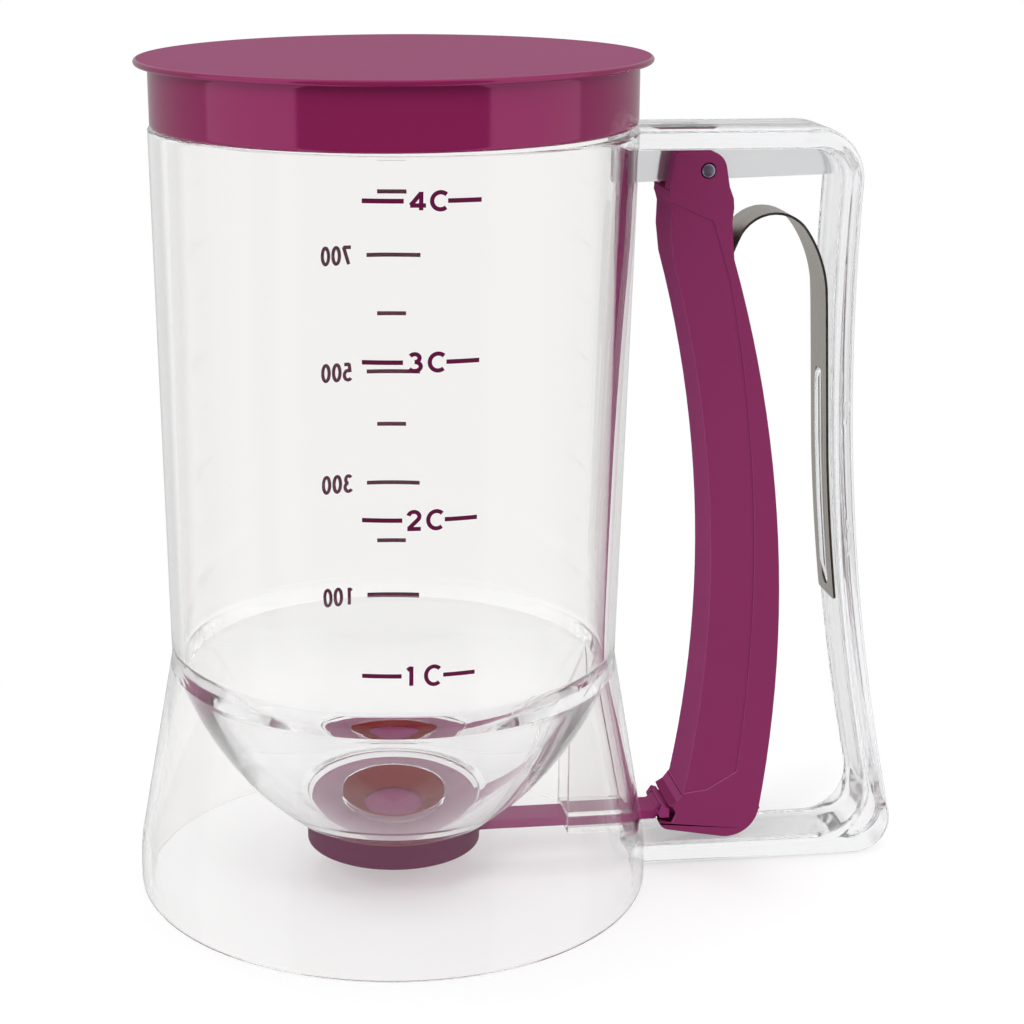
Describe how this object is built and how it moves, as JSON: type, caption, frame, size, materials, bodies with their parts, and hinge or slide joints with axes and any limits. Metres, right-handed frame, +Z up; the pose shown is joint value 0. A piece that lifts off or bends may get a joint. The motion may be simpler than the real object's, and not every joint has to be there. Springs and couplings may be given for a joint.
{
  "type": "batter dispenser",
  "caption": "Clear cup with a round bowl and a base skirt, a lift-off lid, and a sprung squeeze trigger that slides a valve off the outlet.",
  "frame": {"origin": "centre of the ring the base skirt stands on, on the cup's axis, at table height", "axes": "+Z up along the cup's axis, +X towards the handle, -Y faces the cup scale"},
  "size_m": [0.1736, 0.115, 0.1843],
  "materials": {
    "clear_plastic": "clear, polished",
    "plum_plastic": "satin moulded",
    "red_silicone": "soft matt",
    "steel": "brushed"
  },
  "bodies": {
    "vessel": {"cup_wall": "clear_plastic", "bowl": "clear_plastic", "skirt": "clear_plastic", "slider_guide": "clear_plastic", "handle_top_bar": "clear_plastic", "handle_post": "clear_plastic", "handle_bottom_bar": "clear_plastic", "spring_keeper": "clear_plastic", "outlet_seal": "red_silicone", "pivot_pin": "steel", "leaf_spring": "steel"},
    "trigger": {"trigger": "plum_plastic"},
    "valve": {"slide_valve": "plum_plastic"},
    "lid": {"lid": "plum_plastic"}
  },
  "joints": [
    {"name": "trigger_pull", "type": "hinge", "parent": "vessel", "child": "trigger", "pos_m": [0.0664, 0, 0.1603], "axis": [0, -1, 0], "range_deg": [0, 7.2], "stiffness_Nm_per_rad": 1.6, "springref_deg": -6.88, "deforming": ["leaf_spring"]},
    {"name": "valve_slide", "type": "slide", "parent": "vessel", "child": "valve", "axis": [1, 0, 0], "range_m": [0, 0.0186]},
    {"name": "lid_lift", "type": "slide", "parent": "vessel", "child": "lid", "axis": [0, 0, 1], "range_m": [0, 0.06]}
  ],
  "couplings": [
    {"joint": "valve_slide", "follows": "trigger_pull", "m_per_rad": 0.1476}
  ]
}
